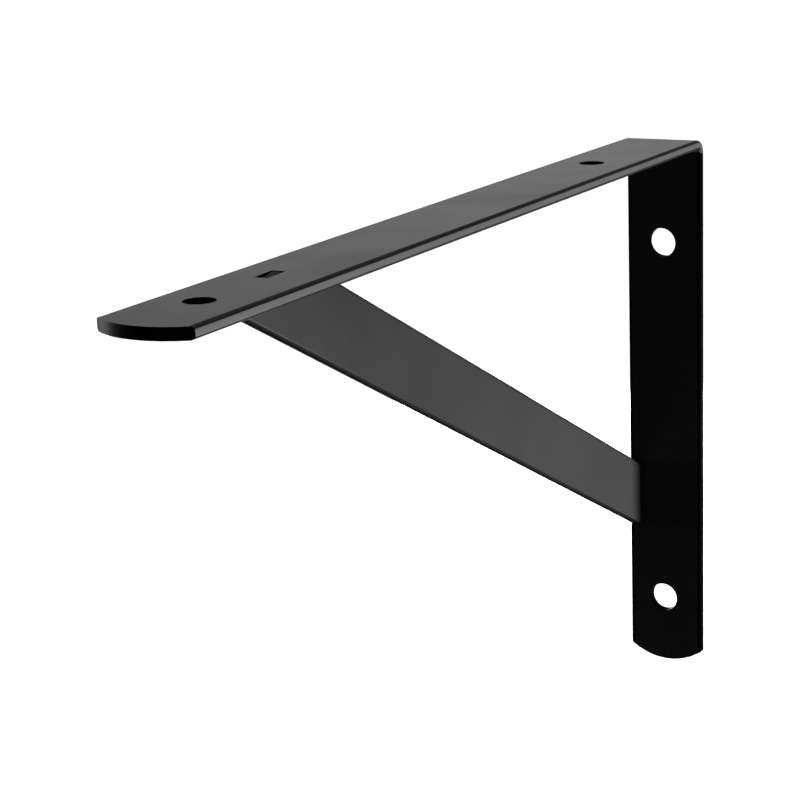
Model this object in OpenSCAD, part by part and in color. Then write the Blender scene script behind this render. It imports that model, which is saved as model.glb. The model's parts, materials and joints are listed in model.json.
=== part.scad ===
// Shelf bracket of flat bar: an angle bent from one bar, and a brace on edge under its arm.
// The wall is the plane y = 0, the arm reaches toward -Y and the leg hangs down the wall.
// The origin lies on the wall, midway between the two wall holes. Sizes are in millimetres.

/* [Angle bar] */
// Width of the flat bar
bar_w = 25; // [22:0.5:30]
// Thickness of the flat bar
bar_t = 3; // [2:0.25:5]
// Reach of the arm, from the wall to the crown of its rounded end
arm_len = 280; // [260:5:400]
// Height of the leg, from the shelf face to the crown of its rounded end
leg_len = 175; // [165:5:300]
// Inside radius of the bend
bend_r = 1.3; // [0.6:0.1:6]
// Radius of the arc that ends the arm and the leg
end_r = 20; // [16:1:60]
// Radius on the long edges of both flat bars
edge_r = 0.9; // [0.3:0.1:0.9]

/* [Screw holes] */
// Diameter of the two holes in the arm
shelf_hole_d = 7.5; // [4:0.1:10]
// Diameter of the two holes in the leg
wall_hole_d = 9.3; // [4:0.1:11]
// Distance of the hole line from the middle of the bar, to the brace's side
hole_shift = 0.75; // [0:0.05:2]
// Spacing of the two holes in the arm
shelf_hole_spacing = 200; // [150:5:220]
// Distance from the outer arm hole to the crown of the arm's end
shelf_hole_end = 24.8; // [18:0.2:30]
// Spacing of the two holes in the leg
wall_hole_spacing = 120; // [100:5:130]
// Distance from the lower leg hole to the crown of the leg's end
wall_hole_end = 21.8; // [18:0.2:30]

/* [Brace] */
// Width of the brace, seen from the side
brace_w = 19.4; // [12:0.2:20]
// Thickness of the brace
brace_t = 3; // [2:0.25:4]
// Distance from the middle of the brace's foot to the crown of the leg's end
foot_end = 56.9; // [50:0.1:75]
// Gap from the bar's edge to the far face of the brace, at its foot
foot_inset = 0.7; // [0:0.1:5]
// Distance from the middle of the brace's seat under the arm to the crown of the arm's end
seat_end = 52.6; // [50:0.2:80]
// Distance from the hole line to the middle of the brace's seat, to the brace's side
seat_shift = 1.1; // [0:0.1:3]

/* [Tongue and slot] */
// Length of the tongue that rises from the brace through the arm
tongue_len = 7.5; // [5:0.5:16]
// Distance from the middle of the brace's seat to the middle of the tongue, toward the wall
tongue_back = 1.3; // [0:0.1:6]
// Depth of the tongue's end below the shelf face, on the wall's side
tongue_recess = 0.1; // [0.05:0.05:0.5]
// Further drop of the tongue's end from there to its outer corner
tongue_drop = 0.6; // [0:0.1:1]
// Gap round the tongue in its slot
slot_gap = 0.3; // [0.1:0.05:0.5]

/* [Hidden] */
$fn = 96;
past = 5;

// Where the faces of the angle bar lie
leg_end_z = -(wall_hole_end + wall_hole_spacing / 2);
shelf_z = leg_end_z + leg_len;
under_z = shelf_z - bar_t;
leg_front_y = -bar_t;
bar_x = hole_shift;
bend_out = bend_r + bar_t;

// Hole places, along the arm and along the leg
shelf_hole_out_y = -(arm_len - shelf_hole_end);
shelf_holes_y = [shelf_hole_out_y, shelf_hole_out_y + shelf_hole_spacing];
wall_holes_z = [-wall_hole_spacing / 2, wall_hole_spacing / 2];

// Middle line of the brace, from its foot on the leg to its seat under the arm
foot = [bar_x - bar_w / 2 + foot_inset + brace_t / 2, leg_front_y, leg_end_z + foot_end];
seat = [-seat_shift, -(arm_len - seat_end), under_z];
run = norm([seat.x - foot.x, seat.y - foot.y]);
rise = seat.z - foot.z;
slope = atan2(rise, run);
skew = atan2(seat.x - foot.x, foot.y - seat.y);
overrun = brace_w / tan(slope);
tongue_root_z = under_z - brace_w / 4;
tongue_top_z = shelf_z - tongue_recess;

module bar_section(w, t) {
    square([w, t - 2 * edge_r], center = true);
    square([w - 2 * edge_r, t], center = true);
    for (side = [-1, 1], face = [-1, 1])
        translate([side * (w / 2 - edge_r), face * (t / 2 - edge_r)])
            circle(edge_r);
}

// A straight limb along +Z that starts square and ends in a flat arc
module limb(length) {
    intersection() {
        linear_extrude(length)
            bar_section(bar_w, bar_t);
        rotate([90, 0, 0])
            linear_extrude(bar_t + past, center = true) {
                translate([0, length - end_r])
                    circle(end_r);
                translate([-bar_w / 2 - past, -past])
                    square([bar_w + 2 * past, length - end_r + past]);
            }
    }
}

module arm() {
    translate([bar_x, -bend_out, shelf_z - bar_t / 2])
        rotate([90, 0, 0])
            limb(arm_len - bend_out);
}

module leg() {
    translate([bar_x, -bar_t / 2, shelf_z - bend_out])
        rotate([180, 0, 0])
            limb(leg_len - bend_out);
}

module bend() {
    translate([bar_x, -bend_out, shelf_z - bend_out])
        rotate([90, 0, 90])
            rotate_extrude(angle = 90)
                translate([bend_r + bar_t / 2, 0])
                    rotate(90)
                        bar_section(bar_w, bar_t);
}

module shelf_holes() {
    for (y = shelf_holes_y)
        translate([0, y, under_z - past])
            cylinder(d = shelf_hole_d, h = bar_t + 2 * past);
}

module wall_holes() {
    for (z = wall_holes_z)
        translate([0, past, z])
            rotate([90, 0, 0])
                cylinder(d = wall_hole_d, h = bar_t + 2 * past);
}

// The tongue and its slot stand in the brace's own plane
module over_seat(z) {
    translate([seat.x, seat.y, z])
        rotate(skew)
            translate([0, tongue_back, 0])
                children();
}

module slot() {
    over_seat(under_z - past)
        linear_extrude(bar_t + 2 * past)
            square([brace_t + 2 * slot_gap, tongue_len + 2 * slot_gap], center = true);
}

// The tongue's end slopes down toward the outer end of the arm
module tongue() {
    over_seat(tongue_root_z)
        rotate([90, 0, 90])
            linear_extrude(brace_t, center = true)
                polygon([
                    [-tongue_len / 2, 0],
                    [tongue_len / 2, 0],
                    [tongue_len / 2, tongue_top_z - tongue_root_z],
                    [-tongue_len / 2, tongue_top_z - tongue_drop - tongue_root_z],
                ]);
}

// A bar on edge along the middle line, longer than the brace at both ends
module brace_stock() {
    translate(foot)
        rotate([90 - slope, 0, skew])
            translate([0, 0, -overrun])
                linear_extrude(norm([run, rise]) + 2 * overrun)
                    rotate(90)
                        bar_section(brace_w, brace_t);
}

module angle_bar() {
    color("#2a2a2c")
        difference() {
            union() {
                arm();
                bend();
                leg();
            }
            shelf_holes();
            wall_holes();
            slot();
        }
}

// The stock is cut off along the front of the leg and along the underside of the arm
module brace() {
    color("#38383a") {
        intersection() {
            brace_stock();
            translate([bar_x - bar_w, -arm_len, leg_end_z])
                cube([2 * bar_w, arm_len - bar_t, leg_len - bar_t]);
        }
        tongue();
    }
}

angle_bar();
brace();
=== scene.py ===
import json
import math

import bmesh
import bpy
from mathutils import Matrix, Vector


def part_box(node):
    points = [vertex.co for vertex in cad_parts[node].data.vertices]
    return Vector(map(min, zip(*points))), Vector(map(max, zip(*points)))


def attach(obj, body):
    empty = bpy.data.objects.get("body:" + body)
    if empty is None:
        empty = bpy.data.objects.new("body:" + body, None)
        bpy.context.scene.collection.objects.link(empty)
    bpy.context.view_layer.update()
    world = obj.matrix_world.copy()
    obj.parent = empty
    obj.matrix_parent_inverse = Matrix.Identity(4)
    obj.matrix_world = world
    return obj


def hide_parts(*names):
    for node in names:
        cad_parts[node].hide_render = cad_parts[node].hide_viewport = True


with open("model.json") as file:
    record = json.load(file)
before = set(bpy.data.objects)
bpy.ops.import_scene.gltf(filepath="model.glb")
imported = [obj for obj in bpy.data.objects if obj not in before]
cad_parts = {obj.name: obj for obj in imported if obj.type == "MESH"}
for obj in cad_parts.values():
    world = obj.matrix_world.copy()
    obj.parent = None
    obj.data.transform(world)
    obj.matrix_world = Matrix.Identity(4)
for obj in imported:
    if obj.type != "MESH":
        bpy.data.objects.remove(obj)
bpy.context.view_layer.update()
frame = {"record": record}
barLow, barHigh = [Vector(corner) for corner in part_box("angle_bar")]
mounts = {mount["name"]: mount for mount in frame["record"]["mounts"]}
xAxis, yAxis, zAxis = Vector((1, 0, 0)), Vector((0, 1, 0)), Vector((0, 0, 1))


# Mesh helpers

meshing = {
    "slack": 0.00001,        # room when a place is compared with a level
    "onLevel": 0.000001,     # a corner this close to a level lies on it
    "square": 0.99,          # share of a normal along the axis that it faces
    "orderAxis": Vector((3.1, 11.3, 37.9)),  # corners are put in order along this
    "sharpTurn": 0.5,        # radians between two faces that meet in an edge to soften
    "smoothTurn": math.radians(32),
    "normalWeight": 80,
}


def takeUp(piece):
    bpy.ops.object.select_all(action="DESELECT")
    piece.select_set(True)
    bpy.context.view_layer.objects.active = piece


def newSection(name, place, wide, thick, onward):
    # a bar's section as one face, open in edit mode
    bpy.ops.object.select_all(action="DESELECT")
    bpy.ops.mesh.primitive_plane_add(size=1)
    piece = bpy.context.active_object
    piece.name = name
    piece.data.name = name
    turned = Matrix((wide, thick, onward)).transposed().to_4x4()
    piece.matrix_world = Matrix.Translation(place) @ turned
    bpy.ops.object.transform_apply(location=True, rotation=True, scale=True)
    bpy.ops.object.mode_set(mode="EDIT")
    bpy.ops.mesh.select_all(action="SELECT")
    return piece


def pick(piece, kind, test):
    # kind is FACE or VERT, and the piece is in edit mode
    bpy.ops.mesh.select_mode(type=kind)
    bpy.ops.mesh.select_all(action="DESELECT")
    mesh = bmesh.from_edit_mesh(piece.data)
    mesh.normal_update()
    found = [part for part in (mesh.faces if kind == "FACE" else mesh.verts) if test(part)]
    for part in found:
        part.select_set(True)
    bmesh.update_edit_mesh(piece.data)


def extrudeBy(step):
    bpy.ops.mesh.extrude_region_move(TRANSFORM_OT_translate={"value": step})


def settle(piece):
    # edit operators leave edges and faces in an order that changes from run to run, and the
    # next cut or bevel would round differently, so they are made again in a fixed order
    order = sorted(piece.data.vertices, key=lambda corner: corner.co.dot(meshing["orderAxis"]))
    ranks = {corner.index: rank for rank, corner in enumerate(order)}
    outlines = []
    for face in piece.data.polygons:
        outline = [ranks[corner] for corner in face.vertices]
        first = outline.index(min(outline))
        outlines.append(outline[first:] + outline[:first])
    mesh = bmesh.new()
    corners = [mesh.verts.new(corner.co) for corner in order]
    for outline in sorted(outlines):
        mesh.faces.new([corners[rank] for rank in outline])
    mesh.to_mesh(piece.data)
    mesh.free()


def closeUp(piece):
    bpy.ops.mesh.select_all(action="SELECT")
    bpy.ops.mesh.normals_make_consistent(inside=False)
    bpy.ops.object.mode_set(mode="OBJECT")
    settle(piece)


def applyModifier(piece, kind, **values):
    takeUp(piece)
    modifier = piece.modifiers.new(kind.title(), kind)
    for key, value in values.items():
        setattr(modifier, key, value)
    bpy.ops.object.modifier_apply(modifier=modifier.name)


def cutAway(piece, cutter):
    applyModifier(piece, "BOOLEAN", operation="DIFFERENCE", object=cutter, solver="EXACT")
    bpy.data.objects.remove(cutter, do_unlink=True)


def bevelByWeight(piece, width, segments):
    applyModifier(piece, "BEVEL", width=width, segments=segments, limit_method="WEIGHT",
                  use_clamp_overlap=False)


def softenEdges(piece, widthOf, segments):
    mesh = bmesh.new()
    mesh.from_mesh(piece.data)
    mesh.normal_update()
    share = mesh.edges.layers.float.new("bevel_weight_edge")
    corners = [edge for edge in mesh.edges
               if len(edge.link_faces) == 2 and edge.calc_face_angle() > meshing["sharpTurn"]]
    widths = [widthOf(edge) for edge in corners]
    widest = max(widths)
    for edge, width in zip(corners, widths):
        edge[share] = width / widest
    mesh.to_mesh(piece.data)
    mesh.free()
    bevelByWeight(piece, widest, segments)


def finishPiece(piece, node, coatNames, coatOf):
    # coatOf gives the name of a face's coat
    takeUp(piece)
    bpy.ops.object.shade_smooth_by_angle(angle=meshing["smoothTurn"])
    applyModifier(piece, "WEIGHTED_NORMAL", keep_sharp=True, weight=meshing["normalWeight"])
    piece.data.materials.clear()
    for name in coatNames:
        piece.data.materials.append(bpy.data.materials[name])
    for face in piece.data.polygons:
        corners = [piece.data.vertices[corner].co for corner in face.vertices]
        face.material_index = coatNames.index(coatOf(face, corners))
    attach(piece, "root")
    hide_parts(node)


# The angle bar

angleBar = {
    "coats": ["angleBarCoat", "edgeCoat", "rubbedCoat", "rolledCoat"],
    "thickness": 0.003,
    "bendInside": 0.0013,    # inside radius of the bend
    "bendSteps": 14,
    "endRadius": 0.020,      # arc that ends the arm and the leg
    "endFlats": 17,
    "spare": 0.004,          # stock past both crowns, cut off with the arc
    "longEdge": 0.0009,      # rolled edges of the stock
    "longEdgeSteps": 6,
    "border": 0.00022,       # second rounding, along the borders of the rolled edges
    "borderSteps": 4,
    "holeSides": 72,
    "cutterDepth": 0.012,    # length of the cutters for holes and slot
    "slotGap": 0.0003,       # room round the tongue
    "paintedHighlightDepth": 0.00005,     # how far round the rolled edges the painted highlight on the arm's sides reaches
    "tipDepth": 0.006,       # the arm's end face lies within this of the crown
    "tipFacing": -0.5,       # its faces look outward at least this much
    "bendFacing": 0.02,      # the bend's flats look sideways less than this
}

# Where the faces of the bar lie
midX = (barLow.x + barHigh.x) / 2
barWidth = barHigh.x - barLow.x
shelfZ = barHigh.z
underZ = shelfZ - angleBar["thickness"]
wallY = barHigh.y
legFront = wallY - angleBar["thickness"]
bendOut = angleBar["bendInside"] + angleBar["thickness"]


def roundEnd(crown, outward):
    # the arc is sheared in narrow flats
    centre = crown - outward * angleBar["endRadius"]
    halfArc = math.asin(barWidth / 2 / angleBar["endRadius"])
    for flat in range(angleBar["endFlats"]):
        turn = halfArc * ((2 * flat + 1) / angleBar["endFlats"] - 1)
        facing = outward * math.cos(turn) + xAxis * math.sin(turn)
        bpy.ops.mesh.select_all(action="SELECT")
        bpy.ops.mesh.bisect(plane_co=centre + facing * angleBar["endRadius"], plane_no=facing,
                            use_fill=True, clear_outer=True)


def drill(piece, mount, along, turn):
    # the mount lies midway between its two holes
    for side in (-0.5, 0.5):
        centre = Vector(mount["pos_m"]) + along * side * mount["dims"]["spacing_y_mm"] / 1000
        bpy.ops.object.select_all(action="DESELECT")
        bpy.ops.mesh.primitive_cylinder_add(
            vertices=angleBar["holeSides"], radius=mount["dims"]["hole_r_mm"] / 1000,
            depth=angleBar["cutterDepth"], location=centre, rotation=turn)
        cutAway(piece, bpy.context.active_object)


def punchSlot(piece):
    bpy.ops.object.select_all(action="DESELECT")
    bpy.ops.mesh.primitive_cube_add(size=1, location=tongueMiddle, rotation=(0, 0, skewAngle))
    punch = bpy.context.active_object
    room = 2 * angleBar["slotGap"]
    punch.scale = (brace["thickness"] + room, brace["tongueLength"] + room,
                   angleBar["cutterDepth"])
    cutAway(piece, punch)


def rolledEdgeWidth(edge):
    # only the long edges, between a side and a face, are rolled
    least, most = sorted(abs(face.normal.x) for face in edge.link_faces)
    rolled = least < 1 - meshing["square"] and most > meshing["square"]
    return angleBar["longEdge"] if rolled else 0


def barCoatOf(face, corners):
    # plain coat on the flats, the bend and the arm's end face; painted shade on cut edges, holes
    # and the leg's sides (near-black copy) and on the arm's rolled edges (darker copy); a painted
    # highlight on the arm's sides (paler copy)
    slack, onLevel = meshing["slack"], meshing["onLevel"]
    for axis, level in ((2, shelfZ), (2, underZ), (1, wallY), (1, legFront)):
        if all(abs(corner[axis] - level) < onLevel for corner in corners):
            return "angleBarCoat"
    bendY, bendZ = wallY - bendOut, shelfZ - bendOut
    inBend = all(corner.y > bendY - slack and corner.z > bendZ - slack for corner in corners)
    if inBend and abs(face.normal.x) < angleBar["bendFacing"]:
        return "angleBarCoat"
    onTip = all(corner.y < barLow.y + angleBar["tipDepth"] for corner in corners)
    if onTip and face.normal.y < angleBar["tipFacing"]:
        return "angleBarCoat"
    onArm = all(corner.z > underZ - slack or corner.y > legFront - angleBar["bendInside"]
                and corner.z > bendZ for corner in corners)
    inward = max(min(corner.x - barLow.x, barHigh.x - corner.x) for corner in corners)
    # painted shade: the remaining faces, off the arm's rolled edges and sides, take the near-black
    # copy of the coat
    if not onArm or inward > angleBar["longEdge"] + slack:
        return "edgeCoat"
    upperHalf = all(corner.z > (shelfZ + underZ) / 2 for corner in corners)
    # painted highlight on the arm's flat sides (paler copy of the coat), painted shade on its
    # rolled edges (darker copy)
    return "rubbedCoat" if inward < (angleBar["paintedHighlightDepth"] if upperHalf else slack) else "rolledCoat"


def buildAngleBar():
    # a section below the leg runs up the leg, round the bend and out past the arm's end
    start = Vector((midX, legFront / 2, barLow.z - angleBar["spare"]))
    piece = newSection("angleBar", start, xAxis * barWidth, yAxis * angleBar["thickness"], zAxis)
    extrudeBy((0, 0, shelfZ - bendOut - start.z))
    bpy.ops.mesh.spin(steps=angleBar["bendSteps"], angle=-math.pi / 2,
                      center=(midX, wallY - bendOut, shelfZ - bendOut), axis=(1, 0, 0))
    extrudeBy((0, barLow.y - angleBar["spare"] - (wallY - bendOut), 0))
    closeUp(piece)
    softenEdges(piece, rolledEdgeWidth, angleBar["longEdgeSteps"])
    bpy.ops.object.mode_set(mode="EDIT")
    roundEnd(Vector((midX, barLow.y, shelfZ)), -yAxis)
    roundEnd(Vector((midX, wallY, barLow.z)), -zAxis)
    bpy.ops.object.mode_set(mode="OBJECT")
    drill(piece, mounts["shelf_holes"], yAxis, (0, 0, 0))
    drill(piece, mounts["wall_holes"], zAxis, (math.pi / 2, 0, 0))
    punchSlot(piece)
    # the borders of the rolled edges still carry their weight from the first bevel
    bevelByWeight(piece, angleBar["border"], angleBar["borderSteps"])
    finishPiece(piece, "angle_bar", angleBar["coats"], barCoatOf)
    print("angle bar:", len(piece.data.polygons), "faces")


# The brace

brace = {
    "coats": ["braceCoat", "edgeCoat", "rolledCoat"],
    "width": 0.0194,
    "thickness": 0.003,
    "longEdge": 0.0009,
    "edgeSteps": 6,
    "footInset": 0.0007,     # far face of the foot to the edge of the bar
    "footAboveEnd": 0.0569,  # middle of the foot to the crown of the leg's end
    "seatFromEnd": 0.0526,   # middle of the seat to the crown of the arm's end
    "seatShift": 0.0011,     # middle of the seat to the hole line
    "overrun": 0.0485,       # stock past the foot and the seat, cut off there
    "tongueLength": 0.0075,
    "tongueBack": 0.0013,    # tongue to the middle of the seat, toward the wall
    "tongueRecess": 0.0001,  # tongue's end below the shelf face, on the wall's side
    "tongueDrop": 0.0006,    # further drop to its outer corner
    "tongueRim": 0.0010,     # round edge of the tongue's end on the brace's right side
    "tongueSide": 0.0002,    # the tongue's other edges
    "tongueStart": 0.0001,   # faces of the tongue have their middle this far above the seat
    "tongueFacing": 0.98,    # the tongue's end looks up at least this much
    "underFacing": 0.8,      # the underside looks down and outward more than this
    "lowerFacing": 0.2,      # the lower rolled edges more than this
    "upperFacing": -0.05,    # the upper rolled edges less than this
}

# The brace's middle line and its own directions
footX = barLow.x + brace["footInset"] + brace["thickness"] / 2
foot = Vector((footX, legFront, barLow.z + brace["footAboveEnd"]))
seat = Vector((-brace["seatShift"], barLow.y + brace["seatFromEnd"], underZ))
alongBrace = (seat - foot).normalized()
alongFlat = Vector((alongBrace.x, alongBrace.y, 0)).normalized()
throughBrace = zAxis.cross(alongFlat)
acrossBrace = alongBrace.cross(throughBrace)
downBrace = acrossBrace if acrossBrace.z < 0 else -acrossBrace
skewAngle = math.atan2(alongFlat.x, -alongFlat.y)
tongueMiddle = seat - alongFlat * brace["tongueBack"]


def braceEdgeWidth(edge):
    ends = [corner.co for corner in edge.verts]
    middle = (ends[0] + ends[1]) / 2
    if middle.z > underZ + meshing["slack"]:
        level = all(end.z > underZ + meshing["slack"] for end in ends)
        rightSide = (middle - tongueMiddle).dot(throughBrace) > brace["thickness"] / 4
        return brace["tongueRim"] if level and rightSide else brace["tongueSide"]
    squareTo = [any(abs(face.normal.dot(axis)) > meshing["square"] for face in edge.link_faces)
                for axis in (throughBrace, acrossBrace)]
    return brace["longEdge"] if all(squareTo) else 0


def braceCoatOf(face, corners):
    # the underside and the rim of the tongue carry painted shade (near-black copy of the coat),
    # both rolled edges painted shade (darker copy), the rest painted light (paler copy)
    if face.center.z > underZ + brace["tongueStart"]:
        return "braceCoat" if face.normal.z > brace["tongueFacing"] else "edgeCoat"
    facing = face.normal.dot(downBrace)
    if facing > brace["underFacing"]:
        return "edgeCoat"
    rolled = facing > brace["lowerFacing"] or facing < brace["upperFacing"]
    return "rolledCoat" if rolled else "braceCoat"


def raiseTongue(piece):
    # two cuts across the seat mark the tongue's root, which then rises through the slot
    for side in (-0.5, 0.5):
        pick(piece, "FACE", lambda face: face.normal.z > meshing["square"])
        edge = tongueMiddle + alongFlat * side * brace["tongueLength"]
        bpy.ops.mesh.bisect(plane_co=edge, plane_no=alongFlat)
    quarter = brace["tongueLength"] / 4
    pick(piece, "FACE", lambda face: face.normal.z > meshing["square"] and
         abs((face.calc_center_median() - tongueMiddle).dot(alongFlat)) < quarter)
    extrudeBy((0, 0, angleBar["thickness"] - brace["tongueRecess"]))
    pick(piece, "VERT", lambda corner: corner.co.z > underZ + meshing["slack"] and
         (corner.co - tongueMiddle).dot(alongFlat) > quarter)
    bpy.ops.transform.translate(value=(0, 0, -brace["tongueDrop"]))


def buildBrace():
    # stock on edge along the middle line, cut off at the leg and under the arm
    overrun = alongBrace * brace["overrun"]
    piece = newSection("brace", foot - overrun, throughBrace * brace["thickness"],
                       acrossBrace * brace["width"], alongBrace)
    extrudeBy(seat - foot + 2 * overrun)
    closeUp(piece)
    bpy.ops.object.mode_set(mode="EDIT")
    for place, outward in ((foot, yAxis), (seat, zAxis)):
        bpy.ops.mesh.select_all(action="SELECT")
        bpy.ops.mesh.bisect(plane_co=place, plane_no=outward, use_fill=True, clear_outer=True)
    raiseTongue(piece)
    closeUp(piece)
    softenEdges(piece, braceEdgeWidth, brace["edgeSteps"])
    finishPiece(piece, "brace", brace["coats"], braceCoatOf)
    print("brace:", len(piece.data.polygons), "faces")


# Node helpers

def newNode(tree, kind, inputs, **settings):
    # an input given as another node's output is linked, and any other value is set
    node = tree.nodes.new(kind)
    for name, value in settings.items():
        setattr(node, name, value)
    for socket, value in inputs.items():
        if isinstance(value, bpy.types.NodeSocket):
            tree.links.new(value, node.inputs[socket])
        else:
            node.inputs[socket].default_value = value
    return node


def calculate(tree, operation, *values):
    return newNode(tree, "ShaderNodeMath", dict(enumerate(values)), operation=operation).outputs[0]


def noiseAt(tree, place, scale, detail):
    inputs = {"Vector": place, "Scale": scale, "Detail": detail}
    return newNode(tree, "ShaderNodeTexNoise", inputs).outputs["Fac"]


def rampOf(tree, value, fromRange, toRange=(0, 1), kind="LINEAR"):
    inputs = {"Value": value, "From Min": fromRange[0], "From Max": fromRange[1],
              "To Min": toRange[0], "To Max": toRange[1]}
    ramp = newNode(tree, "ShaderNodeMapRange", inputs, interpolation_type=kind)
    return ramp.outputs["Result"]


def objectPlace(tree):
    return tree.nodes.new("ShaderNodeTexCoord").outputs["Object"]


def newGroup(name, inputs, outputs):
    group = bpy.data.node_groups.new(name, "ShaderNodeTree")
    for label, value in inputs.items():
        socket = group.interface.new_socket(label, in_out="INPUT", socket_type="NodeSocketFloat")
        socket.default_value = value
    for label in outputs:
        group.interface.new_socket(label, in_out="OUTPUT", socket_type="NodeSocketFloat")
    given = group.nodes.new("NodeGroupInput").outputs
    result = group.nodes.new("NodeGroupOutput").inputs
    return group, given, result


# Effects shared by the coats

grain = {
    "inputs": {"Peel per metre": 520, "Grain per metre": 3600, "Grain share": 0.3},
    "peelDetail": 1,
    "grainDetail": 2,
    "mottlePerMetre": 55,
    "mottleDetail": 3,
}
handling = {
    "inputs": {"Smudge per metre": 28, "Rub per metre": 420},
    "smudgeDetail": 4,
    "smudgeRange": (0.48, 0.72),
    "rubDetail": 2,
    "rubRange": (0.66, 0.78),
    "rubStretch": (1, 0.06, 0.06),
}


def makeCoatGrain():
    # cured powder: a long soft orange peel with a fine grain on it
    group, given, result = newGroup("coatGrain", grain["inputs"], ["Height", "Mottle"])
    place = objectPlace(group)
    peel = noiseAt(group, place, given["Peel per metre"], grain["peelDetail"])
    fine = noiseAt(group, place, given["Grain per metre"], grain["grainDetail"])
    share = calculate(group, "MULTIPLY", fine, given["Grain share"])
    mottle = noiseAt(group, place, grain["mottlePerMetre"], grain["mottleDetail"])
    group.links.new(calculate(group, "ADD", peel, share), result["Height"])
    group.links.new(mottle, result["Mottle"])
    return group


def makeHandling():
    # soft smudges from packing and handling, and a few fine rubs along the bar
    group, given, result = newGroup("handlingMarks", handling["inputs"], ["Smudge", "Rub"])
    place = objectPlace(group)
    smudge = noiseAt(group, place, given["Smudge per metre"], handling["smudgeDetail"])
    group.links.new(rampOf(group, smudge, handling["smudgeRange"]), result["Smudge"])
    stretched = newNode(group, "ShaderNodeMapping",
                        {"Vector": place, "Scale": handling["rubStretch"]}).outputs["Vector"]
    rub = noiseAt(group, stretched, given["Rub per metre"], handling["rubDetail"])
    group.links.new(rampOf(group, rub, handling["rubRange"]), result["Rub"])
    return group


# The coats, with the darkest and the palest grey of each

coats = {
    "angleBarCoat": {"greys": (0.020, 0.026), "roughness": (0.26, 0.34), "specular": 0.15,
                     "peel": 520, "peelDepth": 0.00002},
    # painted light: a paler, less glossy copy of the bar's coat that stands for the light falling
    # on the brace's face
    "braceCoat": {"greys": (0.028, 0.034), "roughness": (0.28, 0.36), "specular": 0.03,
                  "peel": 560, "peelDepth": 0.00002},
    # painted shade: a near-black copy of the coat for cut edges, holes, the slot, the leg's sides,
    # the tongue's rim and the brace's underside
    "edgeCoat": {"greys": (0.0005, 0.001), "roughness": (0.46, 0.54), "specular": 0.004,
                 "peel": 520, "peelDepth": 0.00001},
    # painted shade: a darker copy of the coat for the rolled edges
    "rolledCoat": {"greys": (0.006, 0.010), "roughness": (0.34, 0.42), "specular": 0.06,
                   "peel": 560, "peelDepth": 0.00002},
    # painted highlight: a paler, duller copy of the coat for the flat sides of the arm
    "rubbedCoat": {"greys": (0.050, 0.080), "roughness": (0.50, 0.60), "specular": 0.12,
                   "peel": 700, "peelDepth": 0.00003},
}
wornShare = 0.35     # of the roughness from handling, the rest comes from the mottle
peelStrength = 0.6


def makeCoat(name, grainGroup, marksGroup):
    coat = coats[name]
    material = bpy.data.materials.new(name)
    material.use_nodes = True
    tree = material.node_tree
    shader = tree.nodes["Principled BSDF"].inputs
    shader["Specular IOR Level"].default_value = coat["specular"]
    cured = newNode(tree, "ShaderNodeGroup", {"Peel per metre": coat["peel"]},
                    node_tree=grainGroup).outputs
    marks = newNode(tree, "ShaderNodeGroup", {}, node_tree=marksGroup).outputs
    deep, pale = [(grey, grey, grey, 1) for grey in coat["greys"]]
    tint = newNode(tree, "ShaderNodeMix", {0: cured["Mottle"], 6: deep, 7: pale},
                   data_type="RGBA")
    worn = calculate(tree, "MAXIMUM", marks["Smudge"], marks["Rub"])
    mottled = calculate(tree, "MULTIPLY", cured["Mottle"], 1 - wornShare)
    dullness = calculate(tree, "MULTIPLY_ADD", worn, wornShare, mottled)
    bump = newNode(tree, "ShaderNodeBump", {"Distance": coat["peelDepth"],
                                            "Strength": peelStrength, "Height": cured["Height"]})
    tree.links.new(tint.outputs[2], shader["Base Color"])
    tree.links.new(rampOf(tree, dullness, (0, 1), coat["roughness"]), shader["Roughness"])
    tree.links.new(bump.outputs["Normal"], shader["Normal"])


def makeCoats():
    grainGroup, marksGroup = makeCoatGrain(), makeHandling()
    for name in coats:
        makeCoat(name, grainGroup, marksGroup)
    print("coats:", len(coats))


# Studio floor

studioFloor = {
    "drop": 0.30,            # below the leg's end
    "front": -0.32,          # front edge
    "size": 14,
    "color": (0.74, 0.74, 0.75, 1),
    "roughness": 0.9,
    "glowNear": 0.6,         # added to what is seen of the floor, near the bracket
    "glowFar": 1.0,          # and far behind it
    "glowReach": (0.3, 1.1),
    "mirrored": 0.10,        # share of that glow in what the coat mirrors
}


def seenRays(tree, path):
    return calculate(tree, "MAXIMUM", path["Is Camera Ray"], path["Is Transmission Ray"])


def makeFloor():
    bpy.ops.object.select_all(action="DESELECT")
    place = (0, studioFloor["front"] + studioFloor["size"] / 2, barLow.z - studioFloor["drop"])
    bpy.ops.mesh.primitive_plane_add(size=studioFloor["size"], location=place)
    floor = bpy.context.active_object
    floor.name = "floor"
    bpy.ops.object.transform_apply(location=True)
    material = bpy.data.materials.new("paleFloor")
    material.use_nodes = True
    tree = material.node_tree
    shader = tree.nodes["Principled BSDF"].inputs
    shader["Base Color"].default_value = studioFloor["color"]
    shader["Roughness"].default_value = studioFloor["roughness"]
    shader["Emission Color"].default_value = (1, 1, 1, 1)
    away = newNode(tree, "ShaderNodeVectorMath", {0: objectPlace(tree)}, operation="LENGTH")
    glow = rampOf(tree, away.outputs["Value"], studioFloor["glowReach"],
                  (studioFloor["glowNear"], studioFloor["glowFar"]), "SMOOTHSTEP")
    path = tree.nodes.new("ShaderNodeLightPath").outputs
    mirrored = calculate(tree, "MULTIPLY", path["Is Glossy Ray"], studioFloor["mirrored"])
    shown = calculate(tree, "MAXIMUM", seenRays(tree, path), mirrored)
    tree.links.new(calculate(tree, "MULTIPLY", shown, glow), shader["Emission Strength"])
    floor.data.materials.append(material)
    print("floor made")


# Studio world

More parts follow.
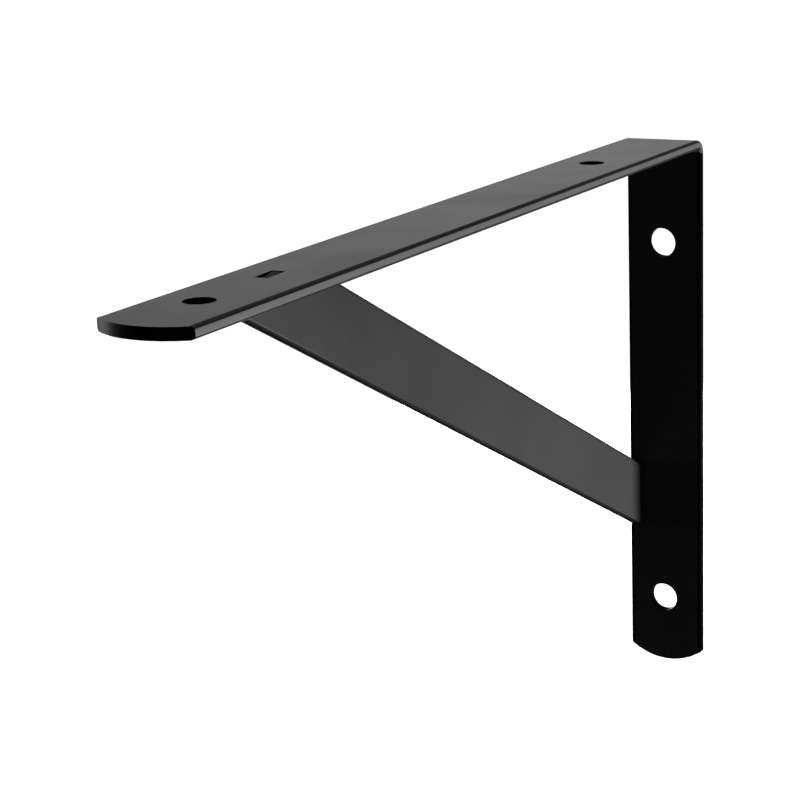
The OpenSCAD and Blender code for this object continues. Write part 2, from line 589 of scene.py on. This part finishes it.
sky = {
    "seen": 1.0,             # what is seen behind the floor
    "bandRear": 0.864,       # soft light low above the floor, behind the bracket
    "bandTop": (0.20, 0.32),  # height of direction at which the band ends
    "rear": 0.024,
    "front": 0.0064,
    "frontToRear": (-0.2, 0.8),  # where the front's level passes into the rear's
}


def makeWorld():
    world = bpy.data.worlds.new("studioWorld")
    bpy.context.scene.world = world
    world.use_nodes = True
    tree = world.node_tree
    tree.nodes.clear()
    direction = tree.nodes.new("ShaderNodeTexCoord").outputs["Generated"]
    split = newNode(tree, "ShaderNodeSeparateXYZ", {"Vector": direction}).outputs
    rear = rampOf(tree, split["Z"], sky["bandTop"], (sky["bandRear"], sky["rear"]), "SMOOTHSTEP")
    around = rampOf(tree, split["Y"], sky["frontToRear"], (sky["front"], rear), "SMOOTHSTEP")
    seen = seenRays(tree, tree.nodes.new("ShaderNodeLightPath").outputs)
    strength = newNode(tree, "ShaderNodeMix", {0: seen, 2: around, 3: sky["seen"]}).outputs[0]
    background = newNode(tree, "ShaderNodeBackground",
                         {"Color": (1, 1, 1, 1), "Strength": strength})
    newNode(tree, "ShaderNodeOutputWorld", {"Surface": background.outputs["Background"]})
    print("world made")


# Studio lamps

lamps = {
    "overhead": {"place": (0.35, 0.75, 1.5), "size": (1.4, 1.0), "power": 10},
    "side": {"place": (0.29, 0.045, -0.06), "size": (0.12, 0.12), "power": 2.55},
    "fill": {"place": (-2.0, -0.30, 0.0), "size": (0.4, 0.4), "power": 10},
    "rear": {"place": (-0.9, 1.2, -0.15), "size": (0.9, 0.36), "power": 24},
}


def makeLamps():
    for name, lamp in lamps.items():
        light = bpy.data.lights.new(name, "AREA")
        light.shape = "RECTANGLE"
        light.size, light.size_y = lamp["size"]
        light.energy = lamp["power"]
        lampObject = bpy.data.objects.new(name, light)
        bpy.context.scene.collection.objects.link(lampObject)
        lampObject.location = lamp["place"]
        toward = Vector((midX, barLow.y / 2, 0)) - lampObject.location
        lampObject.rotation_euler = toward.to_track_quat("-Z", "Y").to_euler()
    print("lamps:", len(lamps))


# Camera, as solved from the photograph

camera = {
    "azimuth": 30.282,
    "elevation": 14.921,
    "roll": -2.270,
    "aim": (0.00075, -0.1734, 0.05085),
    "distance": 0.5211,
    "focalPixels": 2075.1,
    "picturePixels": 800,
    "sensorWidth": 36,
    "clipStart": 0.01,
}


def makeCamera():
    azimuth, elevation, roll = [math.radians(camera[key])
                                for key in ("azimuth", "elevation", "roll")]
    back = Vector((math.sin(azimuth) * math.cos(elevation),
                   -math.cos(azimuth) * math.cos(elevation), math.sin(elevation)))
    right = Vector((math.cos(azimuth), math.sin(azimuth), 0))
    above = back.cross(right)
    rolledRight = right * math.cos(roll) + above * math.sin(roll)
    rolledAbove = above * math.cos(roll) - right * math.sin(roll)
    data = bpy.data.cameras.new("camera")
    data.sensor_width = camera["sensorWidth"]
    data.lens = camera["focalPixels"] * camera["sensorWidth"] / camera["picturePixels"]
    data.clip_start = camera["clipStart"]
    eye = bpy.data.objects.new("camera", data)
    bpy.context.scene.collection.objects.link(eye)
    turned = Matrix((rolledRight, rolledAbove, back)).transposed().to_4x4()
    place = Vector(camera["aim"]) + back * camera["distance"]
    eye.matrix_world = Matrix.Translation(place) @ turned
    bpy.context.scene.camera = eye
    bpy.context.scene.view_settings.view_transform = "Standard"
    print("camera made")


makeCoats()
buildAngleBar()
buildBrace()
makeFloor()
makeWorld()
makeLamps()
makeCamera()
